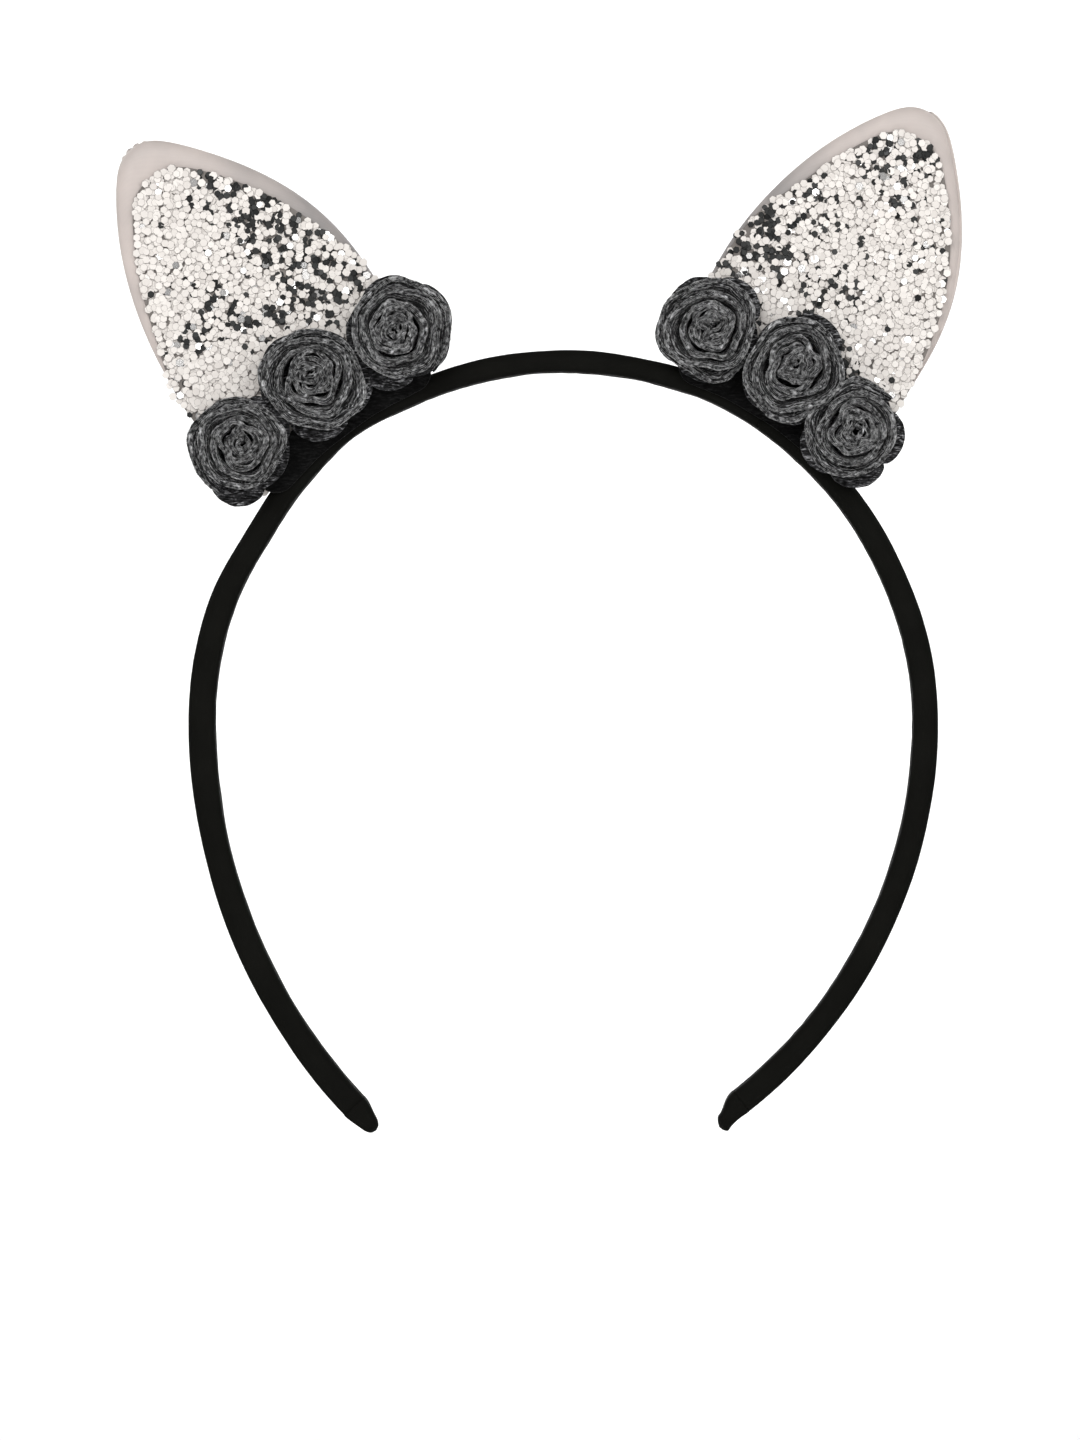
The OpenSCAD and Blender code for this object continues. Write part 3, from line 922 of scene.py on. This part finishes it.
def make_glue_bead(side):
    """Hot glue pressed along the ear's foot at the back, thicker in some places."""
    node = f"glue_bead_{side}"
    angles, reach = polar(vertices(node))
    low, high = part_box(node)
    radius = (reach.max() - reach.min()) / 2
    middle_r, middle_y = (reach.max() + reach.min()) / 2, (low.y + high.y) / 2
    steps, sides = 60, 14
    rings = []
    for i in range(steps + 1):
        share = i / steps
        out = outward(angles.min() + (angles.max() - angles.min()) * share)
        ends = max(0.05, 1 - (2 * share - 1) ** 8) ** 0.5
        lump = 0.86 + 0.2 * noise.noise(Vector((i * 0.35, SIGN[side] * 4, 0)))
        ring = []
        for k in range(sides):
            b = math.tau * k / sides
            grow = radius * ends * lump * (1 + 0.08 * noise.noise(Vector((i * 0.6, k * 0.8, 2))))
            ring.append(out * (middle_r + grow * math.cos(b))
                        + Vector((0, middle_y + grow * math.sin(b), 0)))
        rings.append(ring)
    piece = sweep(f"glue_{side}", rings, MATERIALS["glue"])
    finish_piece(piece, "crown", "glue", node)


for side in SIDES:
    ear = Ear(side)
    make_satin_panels(ear)
    make_ear_core(ear)
    make_glitter(ear)
    make_glue_bead(side)


# ---- the felt ------------------------------------------------------------------

FELT_T = 1.15 * MM
# Degrees by which the black felt stops short of the CAD's at each end
FELT_TRIM = 1.2


def make_base_felt(side):
    """The black strip under a row of roses, cut by hand with soft round ends."""
    node = f"base_felt_{side}"
    angles, reach = polar(vertices(node))
    low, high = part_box(node)
    inner, outer = reach.min(), reach.max()
    start, end = angles.min() + FELT_TRIM, angles.max() - FELT_TRIM
    steps, across = 90, 12
    round_end = math.degrees((outer - inner) / 2 / OUTER_R)
    shares = [2 * j / across - 1 for j in range(across + 1)]
    outline = [(share, low.y, 1) for share in shares]
    outline += [(share, high.y, -1) for share in reversed(shares)]
    rings = []
    for i in range(steps + 1):
        angle = start + (end - start) * i / steps
        near = min(angle - start, end - angle) / round_end
        narrow = math.sqrt(max(0.02, 1 - max(0, 1 - near) ** 2))
        wave = noise.noise(Vector((angle * 0.12, 0, SIGN[side]))) * 0.35 * MM
        middle, half = (inner + outer) / 2, (outer - inner) / 2 * narrow
        rings.append([outward(angle) * (middle + half * share + wave * abs(share))
                      + Vector((0, y + way * 0.25 * MM * abs(share) ** 6, 0))
                      for share, y, way in outline])
    piece = sweep(f"felt_strip_{side}", rings, MATERIALS["base_felt"], smooth_angle=50)
    finish_piece(piece, "crown", "base_felt", node)


# Each rose: its radius and the shift of its core in millimetres, the number of turns and
# the way round that they go, and the angles of its first base lobe and of its centre fold
RoseLook = namedtuple("RoseLook", "r core turns way lobe fold seed")
ROSE_LOOKS = {
    ("left", 1): RoseLook(10.2, (0.1, 0.3), 6.7, 1, 262, 70, 3),
    ("left", 2): RoseLook(10.6, (-0.4, 1.2), 7.1, 1, 280, 25, 8),
    ("left", 3): RoseLook(10.5, (-0.6, 0), 6.7, -1, 252, 85, 12),
    ("right", 3): RoseLook(10.2, (0.3, 0.2), 6.9, 1, 45, 40, 21),
    ("right", 2): RoseLook(10.4, (0, 0.4), 7.0, 1, 55, 35, 27),
    ("right", 1): RoseLook(9.9, (0.9, 0), 6.4, -1, 279, 110, 33),
}
# The strip's rolling: the tight turns, where they start, and the pitch of these and the rest
CORE_TURNS = 4.3
CORE_START = 0.4 * MM
CORE_PITCH = 0.95 * MM
OUTER_PITCH = 1.15 * MM
# Turns from one petal to the next, and how thick the rolled felt is
PETAL_TURNS = 1.35
ROLLED_T = 0.86 * MM
# Loose fibres on each rose, and their radius
FIBRES = 2600
FIBRE_R = 0.035 * MM


class Rose:
    """One rose's place, its look, and the room that its neighbours leave it."""

    def __init__(self, side, number):
        self.side = side
        self.name = f"rose_{side}_{number}"
        self.look = ROSE_LOOKS[side, number]
        low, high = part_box(f"{self.name}_strip")
        self.centre = (low + high) / 2
        self.back_y = high.y
        self.height = high.y - low.y
        self.base_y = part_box(f"{self.name}_base")[1].y
        self.radius = self.look.r * MM
        self.rng = random.Random(self.look.seed)
        self.waves = [(k, self.rng.uniform(0.4, 1) * size, self.rng.random() * math.tau)
                      for k, size in ((2, 0.03), (3, 0.03), (4, 0.015))]

    def warp(self, angle):
        """How much wider than round the rose is in one direction."""
        return 1 + sum(size * math.cos(k * angle + phase) for k, size, phase in self.waves)

    def place(self, reach, angle, forward, neighbours, fold=0.0, lap=0.6 * MM):
        """A point by its reach and direction from the centre, pressed in by neighbours.

        fold is how far it is squeezed towards the line of the centre's fold, and lap is how
        far it may go past the line halfway to a neighbour.
        """
        flat = Vector((math.cos(angle), 0, math.sin(angle))) * reach * self.warp(angle)
        line = math.radians(self.look.fold)
        across = Vector((-math.sin(line), 0, math.cos(line)))
        flat -= across * flat.dot(across) * fold
        off = 1 - smoothstep(reach, 2 * MM, self.radius)
        flat += Vector((self.look.core[0], 0, self.look.core[1])) * MM * off
        for other in neighbours:
            way = other.centre - self.centre
            way.y = 0
            gap = way.length
            way.normalize()
            limit = gap * self.radius / (self.radius + other.radius) + lap
            far = flat.dot(way)
            soft = 0.75 * limit
            if far > soft:
                room = limit - soft
                flat += way * (soft + room * math.tanh((far - soft) / room) - far)
        return Vector((self.centre.x + flat.x, self.back_y - forward, self.centre.z + flat.z))

    def rough(self, angle, turn, channel):
        """Smooth noise round the rose, different on each turn."""
        at = Vector((math.cos(angle), math.sin(angle), turn * 0.5)) * 1.25
        return noise.noise(at + Vector((self.look.seed, channel * 5, 0)))


def felt_grain(point):
    """Felt is never quite even: a small shift for each point."""
    return (point + noise.noise_vector(point / MM * 0.6) * 0.12 * MM
            + noise.noise_vector(point / MM * 2.1) * 0.06 * MM)


def strip_foot(turn):
    """Reach of the strip's glued edge: tight in the core and looser outside it."""
    if turn < CORE_TURNS:
        return CORE_START + CORE_PITCH * turn
    return CORE_START + CORE_PITCH * CORE_TURNS + OUTER_PITCH * (turn - CORE_TURNS)


def strip_section(rose, turn, angle, turns):
    """The strip's closed outline across its length, as (reach, forward) pairs."""
    rows = 7
    outer = max(0, (turn - CORE_TURNS + 0.5) / (turns - CORE_TURNS + 0.5))
    petal = abs(math.sin(turn * math.tau / (2 * PETAL_TURNS) * (1.15 - 0.3 * turn / turns)
                         + rose.look.seed)) ** 0.5
    foot = strip_foot(turn) + rose.rough(angle, turn, 0) * 0.75 * MM * smoothstep(turn, 0.3, 2)
    most = rose.radius - strip_foot(turns) - ROLLED_T / 2
    flare = (0.1 + rose.rough(angle, turn, 1) * 1.1) * MM + most * outer ** 1.1 * (0.62 + 0.46 * petal)
    height = rose.height * (0.93 - 0.18 * outer ** 1.5) + rose.rough(angle, turn, 2) * 1.3 * MM
    height -= (1 - petal) * (0.4 + 1.1 * outer) * MM
    end = min(smoothstep(turn, turns, turns - 0.12), 0.35 + 0.65 * smoothstep(turn, 0, 0.1))
    height = min(height, rose.height * 0.99) * (0.45 + 0.55 * end)
    half = ROLLED_T / 2 * (0.3 + 0.7 * end) * (1 + 0.25 * rose.rough(angle, turn * 3, 3))
    middle = []
    for k in range(rows + 1):
        lift = k / rows
        middle.append((foot + flare * (0.3 * lift + 0.7 * lift ** 2.4), (height - half) * lift))
    section = [(reach - half, forward) for reach, forward in middle]
    top_reach, top_forward = middle[-1]
    lean = math.atan2(flare * 1.9, height)
    for k in range(1, 6):
        a = math.radians(180 - 30 * k) - lean * 0.6
        section.append((top_reach + half * math.cos(a), top_forward + half * 0.8 * math.sin(a)))
    return section + [(reach + half, forward) for reach, forward in reversed(middle)]


def make_rose_strip(rose, neighbours):
    """The rolled strip, whose outer turns lean out into petals."""
    turns, step = rose.look.turns, 0.3 * MM
    start = rose.rng.random() * math.tau
    rings, turn = [], 0.0
    while turn < turns:
        angle = start + rose.look.way * turn * math.tau
        fold = 0.55 * math.exp(-1.1 * turn)
        section = strip_section(rose, turn, angle, turns)
        rings.append([felt_grain(rose.place(reach, angle, forward, neighbours, fold))
                      for reach, forward in section])
        turn += step / (math.tau * strip_foot(turn))
    piece = sweep(f"{rose.name}_rolled_strip", rings, MATERIALS["strip_felt"])
    across = [0.0]
    for a, b in zip(rings[0], rings[0][1:]):
        across.append(across[-1] + (b - a).length)
    add_cloth_map(piece, "felt", [i * step for i in range(len(rings))], across)
    finish_piece(piece, "crown", "rose_felt", f"{rose.name}_strip")
    fibres = make_fibres(rose, rings)


def make_fibres(rose, rings):
    """Loose fibres on the part of the strip that shows, most of them along it."""
    size, last = len(rings[0]), len(rings) - 1
    points, faces = [], []
    for _ in range(FIBRES):
        stride = rose.rng.randint(1, 3)
        i = rose.rng.randrange(1, last - 3 * stride)
        j = rose.rng.randrange(size // 4, size - size // 4 - 3)
        drift = rose.rng.choice((-1, 0, 0, 0, 1))
        lift = rose.rng.uniform(0.02, 0.14) * MM
        first = len(points)
        for k in range(4):
            ring, at = i + k * stride, j + (k // 2) * drift
            place = rings[ring][at]
            along = rings[ring + 1][at] - rings[ring - 1][at]
            out = along.cross(rings[ring][at + 1] - rings[ring][at - 1]).normalized()
            if out.dot(place - rings[ring][size - 1 - at]) - out.y * 0.02 * MM < 0:
                out = -out
            side_way = along.normalized().cross(out)
            radius = FIBRE_R * (1 if k in (1, 2) else 0.3)
            centre = place + out * (lift if k in (1, 2) else 0.01 * MM)
            points += [centre + out * radius, centre + (side_way - 0.5 * out) * radius,
                       centre - (side_way + 0.5 * out) * radius]
        faces += ring_faces(4, 3, first=first)
        faces += [(first, first + 1, first + 2), (first + 9, first + 10, first + 11)]
    piece = make_object(f"{rose.name}_fibres", points, faces, MATERIALS["fibres"])
    finish_piece(piece, "crown", "rose_felt", f"{rose.name}_strip")
    return piece


def make_rose_base(rose, neighbours):
    """The lobed felt under a rose, its petals curling a little to the front."""
    spokes, rows, lobes = 120, 12, 5
    first_lobe = math.radians(rose.look.lobe)
    tips = [1.06] + [rose.rng.uniform(0.9, 1.03) for _ in range(lobes - 1)]
    rings = []
    for k in range(spokes):
        angle = math.tau * k / spokes
        around = (angle - first_lobe) / math.tau * lobes
        lobe = abs(math.cos(math.pi * around)) ** 0.55
        reach = rose.radius * (0.84 + (tips[round(around) % lobes] - 0.84) * lobe)
        wave = noise.noise(Vector((math.cos(angle), math.sin(angle), rose.look.seed)))
        cup = (1.1 + 0.7 * wave) * MM
        ring = []
        for face in (0, 1):
            for j in range(rows + 1):
                share = j / rows if face == 0 else 1 - j / rows
                forward = cup * share ** 4 * lobe + face * FELT_T * (1 - 0.25 * share ** 8)
                ring.append((reach * max(share, 0.04), forward - (rose.base_y - rose.back_y)))
        rings.append([felt_grain(rose.place(r, angle, f, neighbours, 0, 1.3 * MM)) for r, f in ring])
    size = len(rings[0])
    points = [p for ring in rings for p in ring]
    faces = ring_faces(spokes, size, closed_rings=False, wrap=True)
    faces += [[k * size + j for k in range(spokes)] for j in (0, size - 1)]
    piece = make_object(f"{rose.name}_lobed_base", points, faces, MATERIALS["rose_felt"])
    finish_piece(piece, "crown", "rose_felt", f"{rose.name}_base")


for side in SIDES:
    make_base_felt(side)
    row = [Rose(side, number) for number in ROSES]
    for i, rose in enumerate(row):
        beside = row[max(0, i - 1):i] + row[i + 1:i + 2]
        make_rose_base(rose, beside)
        make_rose_strip(rose, beside)


# ---- room and light ------------------------------------------------------------

# How far the floor lies below the headband
FLOOR_GAP = 70 * MM
# Each light's place and aim in metres, the side of its square, and its power in watts
LIGHTS = {
    "key": ((-0.6, -1.9, 1.0), (0, 0, 0), 1.0, 24),
    "fill": ((0.7, -2.0, 0.3), (0, 0, 0), 1.4, 21),
    "backdrop_left": ((-1.8, 1.2, 1.5), (0, 2.8, 0.1), 1.2, 45),
    "backdrop_right": ((1.8, 1.2, 1.5), (0, 2.8, 0.1), 1.2, 45),
}
# Strength of the light that comes from all round
AMBIENT = 0.3


def make_room():
    """A seamless pale sheet: floor, one wide curve and wall."""
    floor_z = CAD_BOX[0].z - FLOOR_GAP
    wall_y, curve_r, half_width, front_y = 2.8, 0.8, 3.0, -1.7
    profile = [(front_y, 0), (wall_y - curve_r, 0)]
    profile += [(wall_y - curve_r + curve_r * math.sin(math.radians(a)),
                 curve_r - curve_r * math.cos(math.radians(a))) for a in range(6, 91, 6)]
    profile.append((wall_y, 3.0))
    points = [Vector((x, y, floor_z + z)) for x in (-half_width, half_width) for y, z in profile]
    size = len(profile)
    faces = [(i, i + 1, size + i + 1, size + i) for i in range(size - 1)]
    paper = Shader("studio_paper", Roughness=0.9, Specular_IOR_Level=0.1)
    paper.feed("Base Color", paper.ramp(paper.noise(40 * MM, 3), (0, (0.9,) * 3), (1, (0.93,) * 3)))
    make_object("studio_sheet", points, faces, paper.material)


def make_lights():
    """Soft square lights: two on the object and two on the wall behind it."""
    for name, (place, aim, size, power) in LIGHTS.items():
        data = bpy.data.lights.new(name, "AREA")
        data.size = size
        data.energy = power
        light = bpy.data.objects.new(name, data)
        light.location = place
        light.rotation_euler = (Vector(aim) - Vector(place)).to_track_quat("-Z", "Y").to_euler()
        bpy.context.scene.collection.objects.link(light)


def make_world():
    """White where the camera sees it, and a weaker light on everything else."""
    world = bpy.data.worlds.new("studio")
    world.use_nodes = True
    tree = world.node_tree
    background = tree.nodes["Background"].inputs
    background["Color"].default_value = (1, 1, 1, 1)
    seen = tree.nodes.new("ShaderNodeLightPath").outputs["Is Camera Ray"]
    strength = tree.nodes.new("ShaderNodeMapRange")
    strength.inputs["To Min"].default_value = AMBIENT
    tree.links.new(seen, strength.inputs["Value"])
    tree.links.new(strength.outputs["Result"], background["Strength"])
    bpy.context.scene.world = world
    bpy.context.scene.view_settings.view_transform = "Standard"


make_room()
make_lights()
make_world()
